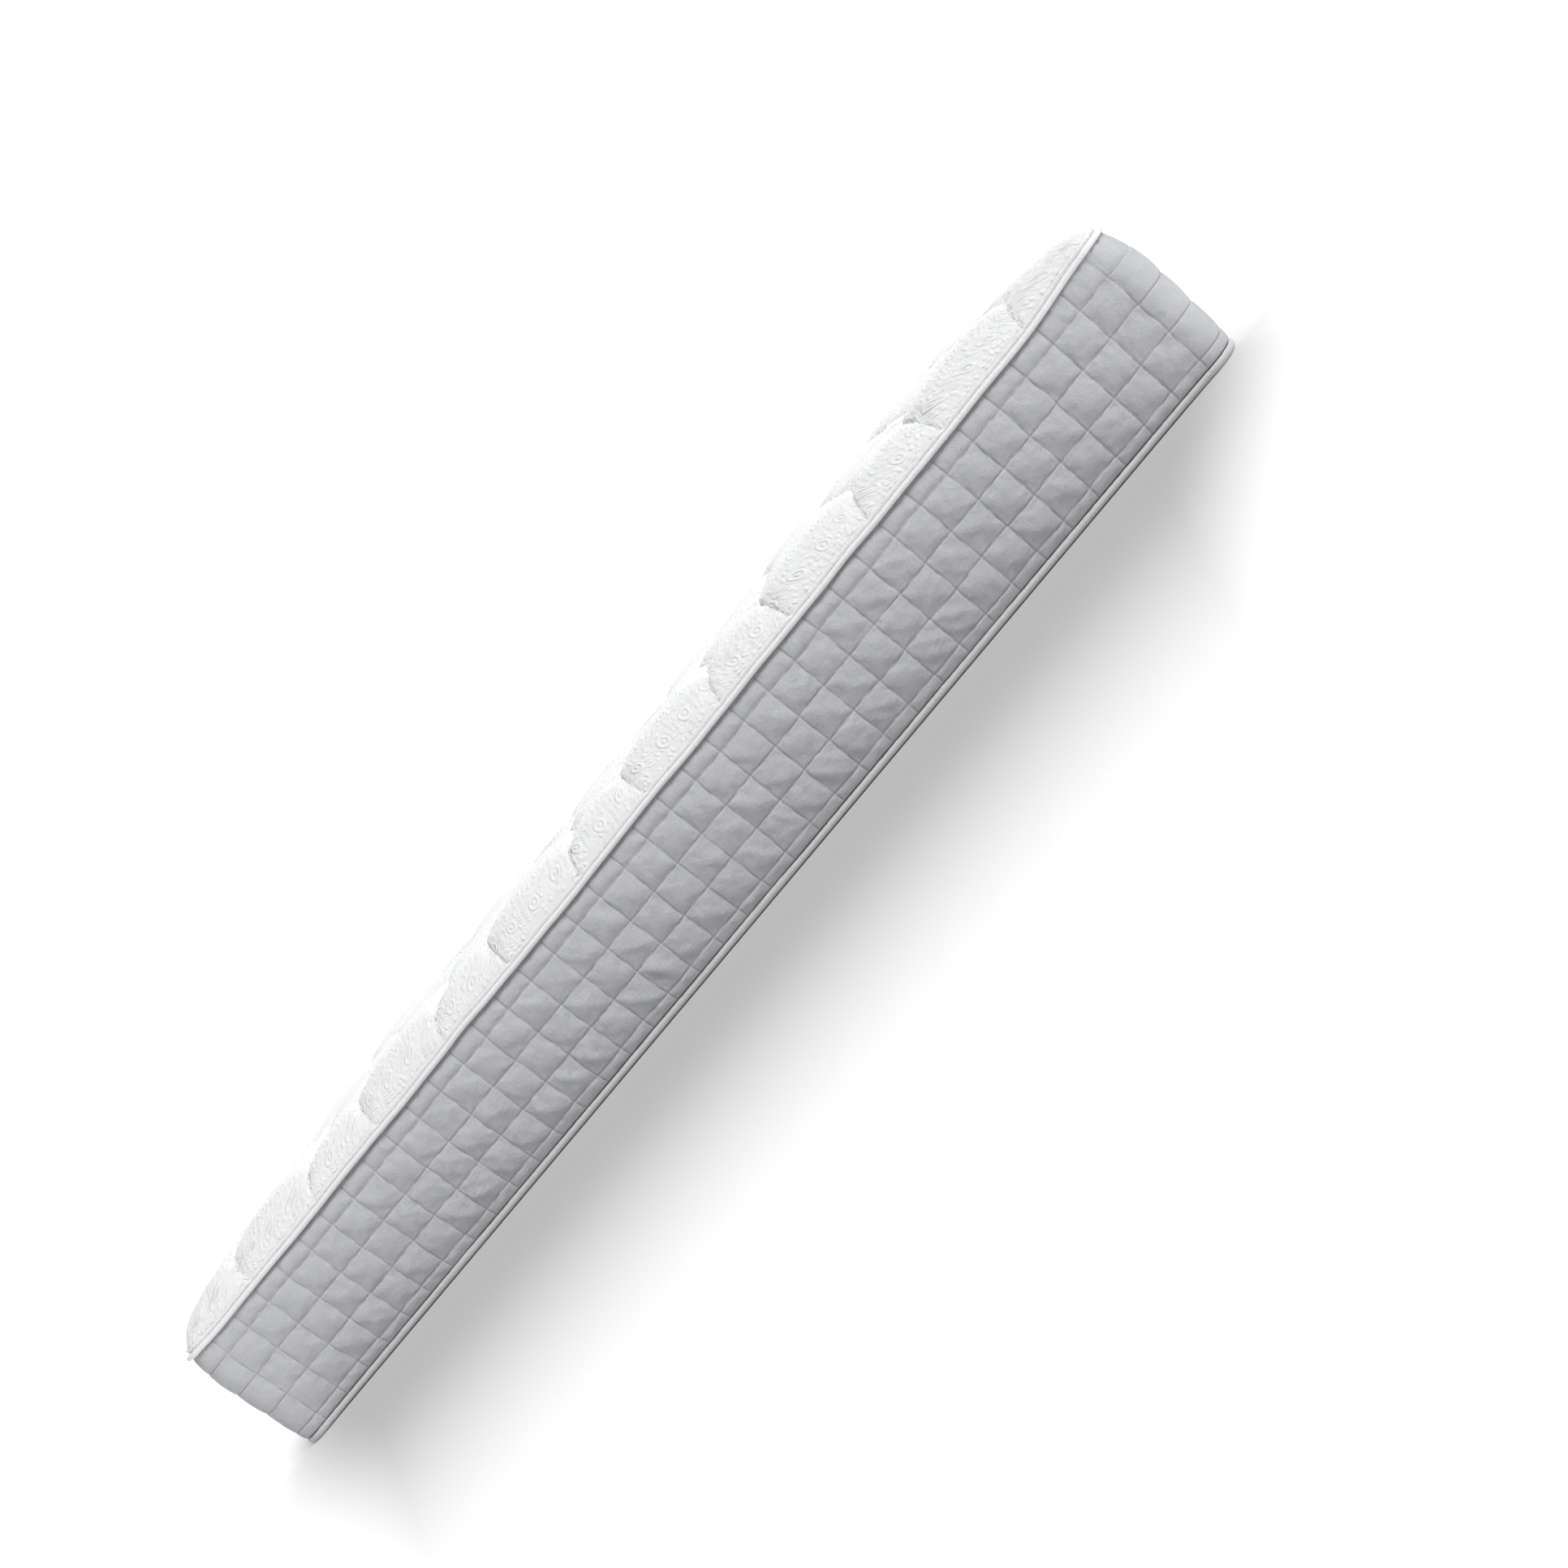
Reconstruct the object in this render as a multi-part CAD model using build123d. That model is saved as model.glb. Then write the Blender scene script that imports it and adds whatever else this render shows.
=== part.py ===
from build123d import *
import math
import os

# Tape-edged memory foam mattress, lying flat. Lengths are in millimetres.
# Origin: middle of the underside. +X along the length, +Y across the width, +Z up.
# An "inset" is a distance inward from the outer face of the border, all the way round.

# ---- overall size -----------------------------------------------------------
LENGTH = 2000.0
WIDTH = 900.0
CORNER_RADIUS = 50.0

# ---- edge rolls: a binding tape wrapped round a filler cord -------------------
TOP_ROLL_RADIUS = 4.8
TOP_CORD_RADIUS = 3.2
TOP_ROLL_HEIGHT = 214.4
BOTTOM_ROLL_RADIUS = 6.0
BOTTOM_CORD_RADIUS = 4.4
BOTTOM_ROLL_HEIGHT = 6.2
BOTTOM_ROLL_INSET = BOTTOM_ROLL_RADIUS - TOP_ROLL_RADIUS
CORD_CLEARANCE = 0.2
TAPE_THICKNESS = 1.4
TOP_BAND_INSET = 4.2
TOP_BAND_TOP = 229.0
BOTTOM_BAND_INSET = 4.2
BOTTOM_BAND_WIDTH = 14.0

# ---- border: ticking, wadding and backing, quilted together --------------------
BORDER_BOTTOM = 12.4
BORDER_TOP = 209.6
BORDER_TICKING = 1.2
BORDER_WADDING = 8.0
BORDER_BACKING = 0.8
BORDER_THICKNESS = BORDER_TICKING + BORDER_WADDING + BORDER_BACKING

# ---- top panel: crowned ticking, wadding and backing --------------------------
PANEL_TOP = 260.0
PANEL_TICKING = 1.5
PANEL_BACKING = 0.8
PANEL_EDGE_RADIUS = 38.0
PANEL_INSET = TOP_BAND_INSET + TAPE_THICKNESS

# ---- bottom panel ------------------------------------------------------------
BASE_TICKING = 1.2
BASE_WADDING_TOP = 6.2
BASE_BACKING_TOP = 7.0
BASE_RIM_HEIGHT = TAPE_THICKNESS
BASE_STEP_GAP = 0.1
BASE_STEP_INSET = BOTTOM_BAND_INSET + BOTTOM_BAND_WIDTH + BASE_STEP_GAP
BASE_RIM_INSET = 7.2

# ---- sock and foam core --------------------------------------------------------
SOCK = 1.0
SOCK_BOTTOM = BASE_BACKING_TOP
SOCK_INSET = BORDER_THICKNESS
FOAM_INSET = SOCK_INSET + SOCK
FOAM_BOTTOM = SOCK_BOTTOM + SOCK
SUPPORT_FOAM = 130.0
TRANSITION_FOAM = 44.0
MEMORY_FOAM = 50.0
FOAM_TOP = FOAM_BOTTOM + SUPPORT_FOAM + TRANSITION_FOAM + MEMORY_FOAM
FOAM_EDGE_RADIUS = 18.0
SOCK_TOP = FOAM_TOP + SOCK
BACKING_TOP = SOCK_TOP + PANEL_BACKING
BACKING_INSET = SOCK_INSET - PANEL_BACKING

# ---- quilting and tape threads ----------------------------------------------------
THREAD_RADIUS = 0.3
SIDE_RUN = LENGTH - 2 * (TOP_ROLL_RADIUS + CORNER_RADIUS)
END_RUN = WIDTH - 2 * (TOP_ROLL_RADIUS + CORNER_RADIUS)
CORNER_RUN = math.pi / 2 * CORNER_RADIUS
BORDER_COLUMNS = 112
CELL = (2 * SIDE_RUN + 2 * END_RUN + 4 * CORNER_RUN) / BORDER_COLUMNS
BOTTOM_ROW_HEIGHT = 30.0
QUILT_ROWS = 4
# The quilting runs this far past the middle of the length, to the right and round.
QUILT_SHIFT = 9.0
TOP_STITCH_HEIGHT = 223.5
BOTTOM_STITCH_HEIGHT = 13.2
WAVE_PITCH = 150.0
WAVE_LINES = 12
HALF_WAVE = WIDTH / 5
WAVE_SWING = 20.0
WAVE_THREAD_WIDTH = 0.8
WAVE_THREAD_DEPTH = 0.4


def plan(inset):
    """The mattress outline seen from above, drawn in by inset."""
    length = LENGTH - 2 * (TOP_ROLL_RADIUS + inset)
    width = WIDTH - 2 * (TOP_ROLL_RADIUS + inset)
    return RectangleRounded(length, width, CORNER_RADIUS - inset)


def slab(inset, bottom, top):
    """A flat-topped block between two heights."""
    return Pos(0, 0, bottom) * extrude(plan(inset), top - bottom)


def pillow(inset, bottom, top, edge_radius):
    """A block whose upper edge is rounded over."""
    block = slab(inset, bottom, top)
    upper_edges = block.faces().sort_by(Axis.Z)[-1].edges()
    return fillet(upper_edges, edge_radius)


def ring(outer_inset, inner_inset, bottom, top):
    """A wall of even thickness that follows the outline."""
    return slab(outer_inset, bottom, top) - slab(inner_inset, bottom, top)


def round_ring(inset, height, radius):
    """A round bar bent round the outline and joined to itself."""
    path = Pos(0, 0, height) * plan(inset).face().outer_wire()
    start = path.edges().sort_by(Axis.Y)[0]
    section = Plane(start @ 0.5, z_dir=start % 0.5) * Circle(radius)
    return sweep(section, path=path)


def tube_ring(inset, height, outer_radius, inner_radius):
    """A round tube bent round the outline."""
    return round_ring(inset, height, outer_radius) - round_ring(inset, height, inner_radius)


# ---- foam core -----------------------------------------------------------------


def support_foam_core():
    return slab(FOAM_INSET, FOAM_BOTTOM, FOAM_BOTTOM + SUPPORT_FOAM)


def transition_foam_layer():
    bottom = FOAM_BOTTOM + SUPPORT_FOAM
    return slab(FOAM_INSET, bottom, bottom + TRANSITION_FOAM)


def memory_foam_layer():
    return pillow(FOAM_INSET, FOAM_TOP - MEMORY_FOAM, FOAM_TOP, FOAM_EDGE_RADIUS)


def inner_sock():
    """The knitted cover closed all round the three foams."""
    outside = pillow(SOCK_INSET, SOCK_BOTTOM, SOCK_TOP, FOAM_EDGE_RADIUS + SOCK)
    inside = pillow(FOAM_INSET, FOAM_BOTTOM, FOAM_TOP, FOAM_EDGE_RADIUS)
    return outside - inside


# ---- top panel -------------------------------------------------------------------


def top_panel_backing():
    outside = pillow(BACKING_INSET, BORDER_TOP, BACKING_TOP, FOAM_EDGE_RADIUS + SOCK + PANEL_BACKING)
    inside = pillow(SOCK_INSET, BORDER_TOP, SOCK_TOP, FOAM_EDGE_RADIUS + SOCK)
    return outside - inside


def top_panel_wadding():
    inset = PANEL_INSET + PANEL_TICKING
    outside = pillow(inset, BORDER_TOP, PANEL_TOP - PANEL_TICKING, PANEL_EDGE_RADIUS - PANEL_TICKING)
    inside = pillow(BACKING_INSET, BORDER_TOP, BACKING_TOP, FOAM_EDGE_RADIUS + SOCK + PANEL_BACKING)
    return outside - inside


def top_panel_ticking():
    """The upper cloth, with the wavy stitch lines sunk into it."""
    inset = PANEL_INSET + PANEL_TICKING
    outside = pillow(PANEL_INSET, BORDER_TOP, PANEL_TOP, PANEL_EDGE_RADIUS)
    inside = pillow(inset, BORDER_TOP, PANEL_TOP - PANEL_TICKING, PANEL_EDGE_RADIUS - PANEL_TICKING)
    return outside - inside - top_quilt_thread()


# ---- border -----------------------------------------------------------------------


def border_ticking():
    return ring(0, BORDER_TICKING, BORDER_BOTTOM, BORDER_TOP)


def border_wadding():
    inner = BORDER_TICKING + BORDER_WADDING
    return ring(BORDER_TICKING, inner, BORDER_BOTTOM, BORDER_TOP)


def border_backing():
    outer = BORDER_TICKING + BORDER_WADDING
    return ring(outer, BORDER_THICKNESS, BORDER_BOTTOM, BORDER_TOP)


# ---- bottom panel --------------------------------------------------------------------


def bottom_panel_ticking():
    """Flush with the floor in the middle, stepped up over the tape at the rim."""
    middle = slab(BASE_STEP_INSET, 0, BASE_TICKING)
    step = ring(BASE_STEP_INSET, BASE_STEP_INSET + BASE_TICKING, 0, BASE_RIM_HEIGHT + BASE_TICKING)
    rim_bottom = BASE_RIM_HEIGHT
    rim = ring(BASE_RIM_INSET, BASE_STEP_INSET + BASE_TICKING, rim_bottom, rim_bottom + BASE_TICKING)
    return middle + step + rim


def bottom_panel_wadding():
    """Fill between ticking and backing, turned up at the rim to meet the border."""
    rim_bottom = BASE_RIM_HEIGHT + BASE_TICKING
    sheet = slab(BASE_RIM_INSET, rim_bottom, BASE_WADDING_TOP)
    middle = slab(BASE_STEP_INSET + BASE_TICKING, BASE_TICKING, rim_bottom)
    rim = ring(BASE_RIM_INSET, BORDER_THICKNESS, BASE_WADDING_TOP, BORDER_BOTTOM)
    return sheet + middle + rim


def bottom_panel_backing():
    return slab(BORDER_THICKNESS, BASE_WADDING_TOP, BASE_BACKING_TOP)


# ---- tape edges ----------------------------------------------------------------------


def top_binding_tape():
    """Rolled round its cord, with a band that laps up the edge of the top panel."""
    roll = tube_ring(0, TOP_ROLL_HEIGHT, TOP_ROLL_RADIUS, TOP_CORD_RADIUS + CORD_CLEARANCE)
    band = ring(TOP_BAND_INSET, TOP_BAND_INSET + TAPE_THICKNESS, TOP_ROLL_HEIGHT, TOP_BAND_TOP)
    return roll + band


def bottom_binding_tape():
    """Rolled round its cord, with a band that laps under the bottom panel."""
    bore = BOTTOM_CORD_RADIUS + CORD_CLEARANCE
    roll = tube_ring(BOTTOM_ROLL_INSET, BOTTOM_ROLL_HEIGHT, BOTTOM_ROLL_RADIUS, bore)
    band = ring(BOTTOM_BAND_INSET, BOTTOM_BAND_INSET + BOTTOM_BAND_WIDTH, 0, TAPE_THICKNESS)
    return roll + band


def top_filler_cord():
    return round_ring(0, TOP_ROLL_HEIGHT, TOP_CORD_RADIUS)


def bottom_filler_cord():
    return round_ring(BOTTOM_ROLL_INSET, BOTTOM_ROLL_HEIGHT, BOTTOM_CORD_RADIUS)


# ---- threads ---------------------------------------------------------------------------


def top_tape_thread():
    return round_ring(TOP_BAND_INSET - THREAD_RADIUS, TOP_STITCH_HEIGHT, THREAD_RADIUS)


def bottom_tape_thread():
    return round_ring(-THREAD_RADIUS, BOTTOM_STITCH_HEIGHT, THREAD_RADIUS)


def row_heights():
    return [BOTTOM_ROW_HEIGHT + CELL * row for row in range(QUILT_ROWS)]


def outline_spot(distance, inset):
    """The point that far round the outline, anticlockwise from the middle of the front."""
    run = (distance + SIDE_RUN / 2) % (CELL * BORDER_COLUMNS)
    radius = CORNER_RADIUS - inset
    # Each stretch: how far it runs, the centre of the corner that ends it, its heading.
    stretches = [
        (SIDE_RUN, (SIDE_RUN / 2, -END_RUN / 2), 0),
        (END_RUN, (SIDE_RUN / 2, END_RUN / 2), 90),
        (SIDE_RUN, (-SIDE_RUN / 2, END_RUN / 2), 180),
        (END_RUN, (-SIDE_RUN / 2, -END_RUN / 2), 270),
    ]
    for length, corner, heading in stretches:
        if run < length:
            along = Vector(1, 0).rotate(Axis.Z, heading)
            outward = Vector(1, 0).rotate(Axis.Z, heading - 90)
            return Vector(*corner) + outward * radius - along * (length - run)
        run -= length
        if run < CORNER_RUN:
            turned = heading - 90 + math.degrees(run / CORNER_RADIUS)
            return Vector(*corner) + Vector(1, 0).rotate(Axis.Z, turned) * radius
        run -= CORNER_RUN


def border_quilt_thread():
    """Rows that run right round, and upright stitch lines cut where they meet a row."""
    rows = [round_ring(-THREAD_RADIUS, height, THREAD_RADIUS) for height in row_heights()]
    gap = 2 * THREAD_RADIUS
    starts = [BORDER_BOTTOM + 2 * gap] + [height + gap for height in row_heights()]
    stops = [height - gap for height in row_heights()] + [BORDER_TOP - gap]
    uprights = []
    for column in range(BORDER_COLUMNS):
        spot = outline_spot(CELL * (column + 0.5) + QUILT_SHIFT, -THREAD_RADIUS)
        for low, high in zip(starts, stops):
            run = Cylinder(THREAD_RADIUS, high - low, align=(Align.CENTER, Align.CENTER, Align.MIN))
            uprights.append(Pos(spot.X, spot.Y, low) * run)
    return Compound(children=rows + uprights)


def wave_line(x, first_side):
    """One stitch line across the width: arcs that bow to one side, then the other."""
    half_waves = round(WIDTH / HALF_WAVE)
    arcs = []
    for i in range(half_waves):
        start = (x, -WIDTH / 2 + HALF_WAVE * i)
        stop = (x, -WIDTH / 2 + HALF_WAVE * (i + 1))
        bow = first_side * (-1) ** i * WAVE_SWING
        arcs.append(SagittaArc(start, stop, bow))
    return Wire(arcs)


def top_quilt_thread():
    """The wavy stitch lines, flush with the top. They bow in turn to left and right, so
    that wide and narrow puffs take turns along and across the panel."""
    flat = extrude(plan(PANEL_INSET + PANEL_EDGE_RADIUS), WAVE_THREAD_DEPTH)
    sunk = Pos(0, 0, PANEL_TOP - WAVE_THREAD_DEPTH)
    lines = []
    for i in range(WAVE_LINES):
        x = WAVE_PITCH * (i - (WAVE_LINES - 1) / 2) + QUILT_SHIFT
        ribbon = extrude(trace(wave_line(x, (-1) ** i), WAVE_THREAD_WIDTH), WAVE_THREAD_DEPTH)
        kept = ribbon.intersect(flat)
        lines += [sunk * solid for solid in kept.solids()]
    return Compound(children=lines)


PARTS = {
    "support_foam_core": support_foam_core,
    "transition_foam_layer": transition_foam_layer,
    "memory_foam_layer": memory_foam_layer,
    "inner_sock": inner_sock,
    "top_panel_backing": top_panel_backing,
    "top_panel_wadding": top_panel_wadding,
    "top_panel_ticking": top_panel_ticking,
    "border_backing": border_backing,
    "border_wadding": border_wadding,
    "border_ticking": border_ticking,
    "bottom_panel_backing": bottom_panel_backing,
    "bottom_panel_wadding": bottom_panel_wadding,
    "bottom_panel_ticking": bottom_panel_ticking,
    "top_binding_tape": top_binding_tape,
    "bottom_binding_tape": bottom_binding_tape,
    "top_filler_cord": top_filler_cord,
    "bottom_filler_cord": bottom_filler_cord,
    "top_tape_thread": top_tape_thread,
    "bottom_tape_thread": bottom_tape_thread,
    "border_quilt_thread": border_quilt_thread,
    "top_quilt_thread": top_quilt_thread,
}


def main():
    os.makedirs("parts", exist_ok=True)
    for name, make in PARTS.items():
        export_step(make(), f"parts/{name}.step")


main()
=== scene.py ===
import math

import bpy
import numpy as np
from mathutils import Matrix, Vector


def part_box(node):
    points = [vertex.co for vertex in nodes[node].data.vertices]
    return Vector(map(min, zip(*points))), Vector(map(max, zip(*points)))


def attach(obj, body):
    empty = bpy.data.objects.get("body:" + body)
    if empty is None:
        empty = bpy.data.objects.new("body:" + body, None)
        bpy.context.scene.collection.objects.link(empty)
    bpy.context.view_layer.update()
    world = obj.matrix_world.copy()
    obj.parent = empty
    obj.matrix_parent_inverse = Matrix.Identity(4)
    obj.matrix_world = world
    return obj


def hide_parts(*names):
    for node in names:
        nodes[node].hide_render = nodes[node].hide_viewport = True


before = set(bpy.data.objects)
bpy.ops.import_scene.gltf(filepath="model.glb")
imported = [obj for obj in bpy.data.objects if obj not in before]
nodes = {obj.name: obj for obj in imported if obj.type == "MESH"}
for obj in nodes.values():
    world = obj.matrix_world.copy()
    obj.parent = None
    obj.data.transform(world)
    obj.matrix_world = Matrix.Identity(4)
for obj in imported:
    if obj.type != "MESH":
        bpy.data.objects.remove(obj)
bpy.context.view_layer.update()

# Tape-edged memory foam mattress. Lengths are in metres, in the frame of the CAD model.
# "out" is a distance outward from the outer face of the border, an "inset" is one inward,
# and a "distance" is one round that outline, anticlockwise from the middle of the front.

MM = 0.001

# ---- the outline, and what the frame says of it ----
BORDER_LOW, BORDER_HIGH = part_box("border_ticking")
HALF_LENGTH = BORDER_HIGH.x
HALF_WIDTH = BORDER_HIGH.y
CORNER_RADIUS = 50 * MM
CORNER_X = HALF_LENGTH - CORNER_RADIUS
CORNER_Y = HALF_WIDTH - CORNER_RADIUS
STRAIGHT_LENGTH = 2 * CORNER_X
STRAIGHT_WIDTH = 2 * CORNER_Y
BEND = math.pi / 2 * CORNER_RADIUS
PERIMETER = 2 * (STRAIGHT_LENGTH + STRAIGHT_WIDTH) + 4 * BEND

# ---- border quilting ----
BORDER_BOTTOM = BORDER_LOW.z
BORDER_TOP = BORDER_HIGH.z
COLUMNS = 112
CELL = PERIMETER / COLUMNS
QUILT_SHIFT = 9 * MM
FIRST_ROW = 30 * MM
ROW_LINES = [FIRST_ROW + CELL * row for row in range(4)]
BORDER_CLOTH = 1.2 * MM
FILL_GAP = 1.5 * MM
BORDER_PUFF = 3.1 * MM
BORDER_GROOVE = 1.5 * MM
BORDER_FOLD = 4.2 * MM
BORDER_BARREL = 5.0 * MM
CORNER_PUSH = 5 * MM
LEFT_END_BULGE = -1.5 * MM
RIGHT_END_BULGE = 4.5 * MM
LINE_JOG = 0.55 * MM
CELL_STEPS = np.array([0, 0.024, 0.075, 0.17, 0.28, 0.39, 0.5, 0.61, 0.72, 0.83, 0.925, 0.976])
INNER_ROW_STEP = 3

# ---- edge rolls ----
TOP_ROLL_HEIGHT = sum(corner.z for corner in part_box("top_filler_cord")) / 2
TOP_ROLL_RADIUS = 4.1 * MM
TOP_CORD_RADIUS = 2.3 * MM
TOP_BAND_TOP = 224.5 * MM
TOP_BAND_OUT = -4.9 * MM
BOTTOM_ROLL_HEIGHT = sum(corner.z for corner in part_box("bottom_filler_cord")) / 2
BOTTOM_ROLL_RADIUS = 5.1 * MM
BOTTOM_ROLL_OUT = -4.4 * MM
BOTTOM_CORD_RADIUS = 3.4 * MM
CORD_COLUMNS = 700
CORD_SIDES = 12
TAPE_THICKNESS = 1.4 * MM
TAPE_STEP = 2.6 * MM
LAP_HEIGHT = 0.9  # of the bottom tape's band under the base, in mm
TOP_STITCH_POINT = 4
BOTTOM_STITCH_POINT = 2

# ---- top quilting ----
PANEL_INSET = HALF_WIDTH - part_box("top_panel_ticking")[1].y
PANEL_CLOTH = 1.5 * MM
PANEL_HEM = 6 * MM
WAVE_PITCH = 150 * MM
WAVE_LINES = 12
HALF_WAVE = 180 * MM
WAVE_SWING = 20 * MM
SEAM_FOOT = 217 * MM
SEAM_TOP = 249.5 * MM
PUFF_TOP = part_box("top_panel_ticking")[1].z + 1.5 * MM
STRIP_STEPS = 18
END_STEPS = 20
WIDTH_STEPS = 144
CORNER_STEPS = 10

# ---- how the padded cloth settles over its fill ----
SETTLE_FRAMES = 20
SETTLE_PRESSURE = 4
SPARE_CLOTH = 0.03
TOP_SETTLE = 4.5 * MM
BORDER_SETTLE = 1.2 * MM

# ---- thread ----
THREAD_RADIUS = 0.35 * MM
STITCH_PITCH = 4 * MM
STITCH_LENGTH = 3.2 * MM

# ---- the fill, and the base ----
BORDER_FILL_DEPTH = 9.1 * MM
TOP_FILL_INSET = 9.4 * MM
BACKING_RADIUS = 19.8 * MM
BASE_INSET = 6.0 * MM
BASE_CLOTH = 1.1 * MM
BASE_FILL_TOP = 6.1 * MM
FLOOR_GAP = 0.05 * MM


# ---- shapes ----


def outline(distance):
    """Points of the outline and its outward normals, at any array of distances."""
    run = np.mod(np.asarray(distance, float) + STRAIGHT_LENGTH / 2, PERIMETER)
    point = np.zeros(run.shape + (2,))
    normal = np.zeros(run.shape + (2,))
    corners = [(CORNER_X, -CORNER_Y), (CORNER_X, CORNER_Y), (-CORNER_X, CORNER_Y), (-CORNER_X, -CORNER_Y)]
    start = 0.0
    for side, corner in enumerate(corners):
        straight = STRAIGHT_LENGTH if side % 2 == 0 else STRAIGHT_WIDTH
        heading = side * math.pi / 2
        along = np.array([math.cos(heading), math.sin(heading)])
        away = np.array([math.sin(heading), -math.cos(heading)])
        local = run - start
        flat = (local >= 0) & (local < straight)
        point[flat] = np.array(corner) + away * CORNER_RADIUS + along * (local[flat] - straight)[:, None]
        normal[flat] = away
        bent = (local >= straight) & (local < straight + BEND)
        turn = heading - math.pi / 2 + (local[bent] - straight) / CORNER_RADIUS
        normal[bent] = np.stack([np.cos(turn), np.sin(turn)], -1)
        point[bent] = np.array(corner) + normal[bent] * CORNER_RADIUS
        start += straight + BEND
    return point, normal


def plan(distance):
    """Where the outline is at any array of distances, as x and y."""
    spot, _ = outline(distance)
    return spot[..., 0], spot[..., 1]


def standing(distance, out, height):
    """Points that far out from the outline at those heights, and the way out there."""
    spot, normal = outline(distance)
    points = np.concatenate([spot + normal * out[..., None], height[..., None]], -1)
    return points, np.concatenate([normal, np.zeros(out.shape + (1,))], -1)


def inset_of(x, y):
    """How far inside the outline a point in plan lies."""
    reach_x = np.abs(x) - CORNER_X
    reach_y = np.abs(y) - CORNER_Y
    beyond = np.hypot(np.maximum(reach_x, 0), np.maximum(reach_y, 0))
    within = np.minimum(np.maximum(reach_x, reach_y), 0)
    return CORNER_RADIUS - beyond - within


def smooth(low, high, value):
    """0 below low, 1 above high, and an even rise between them."""
    t = np.clip((value - low) / (high - low), 0, 1)
    return t * t * (3 - 2 * t)


def quarter(t):
    """The rise of a quarter circle: steep at 0, level at 1 and after."""
    return np.sqrt(np.maximum(1 - (1 - np.clip(t, 0, 1)) ** 2, 0))


def dome(t, fullness):
    """A puff's cross-section between two stitch lines at 0 and 1."""
    return np.maximum(1 - np.abs(2 * np.clip(t, 0, 1) - 1) ** 2.2, 0) ** fullness


def ripple(x, y, length, seed, count=7):
    """Smooth unevenness about as long as length, from -1 to 1, the same on each run."""
    rng = np.random.default_rng(seed)
    total = np.zeros(np.broadcast(x, y).shape)
    for _ in range(count):
        wave = 2 * math.pi / (length * rng.uniform(0.7, 1.5))
        turn = rng.uniform(0, 2 * math.pi)
        phase = rng.uniform(0, 2 * math.pi)
        total += np.sin(wave * (x * math.cos(turn) + y * math.sin(turn)) + phase)
    return total / math.sqrt(count) / 1.4


def corner_nearness(x, y, width):
    """1 where the edge turns each corner, fading over width."""
    reach = HALF_LENGTH - CORNER_RADIUS * (1 - math.sqrt(0.5))
    side = HALF_WIDTH - CORNER_RADIUS * (1 - math.sqrt(0.5))
    away = np.hypot(np.abs(x) - reach, np.abs(y) - side)
    return np.exp(-((away / width) ** 2))


def lift(x, y):
    """How far the top tape rides above or below its level: it wanders, and rises at corners."""
    wander = 1.1 * MM * ripple(x, y, 260 * MM, 11) + 0.5 * MM * ripple(x, y, 95 * MM, 12)
    right = smooth(0, HALF_LENGTH, x)
    return wander + (3 + 8 * right) * MM * corner_nearness(x, y, (55 + 40 * right) * MM)


def push(x, y, height):
    """How far the foam pushes the border out below the top tape, most of all at the corners."""
    end = smooth(HALF_LENGTH - 60 * MM, HALF_LENGTH - 15 * MM, np.abs(x))
    bulge = np.where(x < 0, LEFT_END_BULGE, RIGHT_END_BULGE) * end
    below = smooth(BORDER_TOP, BORDER_TOP - 32 * MM, height)
    return (bulge + CORNER_PUSH * corner_nearness(x, y, 60 * MM)) * below


def crown(x, y):
    """How the top's level differs from flat: a rise behind the front edge, a dip beyond it."""
    rise = 7.0 * MM * np.exp(-(((y + 330 * MM) / (150 * MM)) ** 2))
    deep = 6 * MM + 11 * MM * np.exp(-(((x + 150 * MM) / (400 * MM)) ** 2))
    return rise - deep * smooth(-250 * MM, 300 * MM, y) * smooth(-950 * MM, -600 * MM, x)


def seam_x(line, y):
    """Where a wavy stitch line runs at y. Neighbours bow opposite ways."""
    middle = WAVE_PITCH * (line - (WAVE_LINES - 1) / 2) + QUILT_SHIFT
    side = -1 if line % 2 == 0 else 1
    return middle + side * WAVE_SWING * np.sin(math.pi * (y + 450 * MM) / HALF_WAVE)


def notch(x, y, width):
    """Where stitch lines run under the tape, deeper on the left of each wide puff."""
    near_edge = smooth(380 * MM, 430 * MM, np.abs(y))
    total = 0
    for line in range(WAVE_LINES):
        depth = 1.0 if line % 2 == 0 else 0.45
        total = total + depth * np.exp(-(((x - seam_x(line, y)) / width) ** 2))
    return total * near_edge


# ---- meshes ----


def grid_quads(columns, rows, wrap_columns=False, wrap_rows=False):
    """Quads over a grid of columns by rows points, and each corner's column and row."""
    i, j = np.indices((columns - (not wrap_columns), rows - (not wrap_rows))).reshape(2, -1)
    corner_i = np.stack([i, i + 1, i + 1, i], -1)
    corner_j = np.stack([j, j, j + 1, j + 1], -1)
    quads = (corner_i % columns) * rows + corner_j % rows
    return quads, corner_i, corner_j


def signed_volume(points, quads):
    """Positive for a closed mesh whose faces look outward."""
    a, b, c, d = (points[quads[:, k]] for k in range(4))
    return (np.einsum("ij,ij->i", a, np.cross(b, c)) + np.einsum("ij,ij->i", a, np.cross(c, d))).sum()


def add_object(name, data):
    """An object that holds data, in the scene."""
    made = bpy.data.objects.new(name, data)
    bpy.context.scene.collection.objects.link(made)
    return made


def add_mesh(name, points, quads, weave):
    """A smooth mesh object. weave holds each face corner's place in the cloth, in metres."""
    if signed_volume(points, quads) < 0:
        quads = quads[:, ::-1]
        weave = weave[:, ::-1]
    mesh = bpy.data.meshes.new(name)
    mesh.from_pydata(points, [], quads)
    mesh.uv_layers.new(name="weave").data.foreach_set("uv", weave.astype(np.float32).ravel())
    mesh.shade_smooth()
    return add_object(name, mesh)


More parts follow.
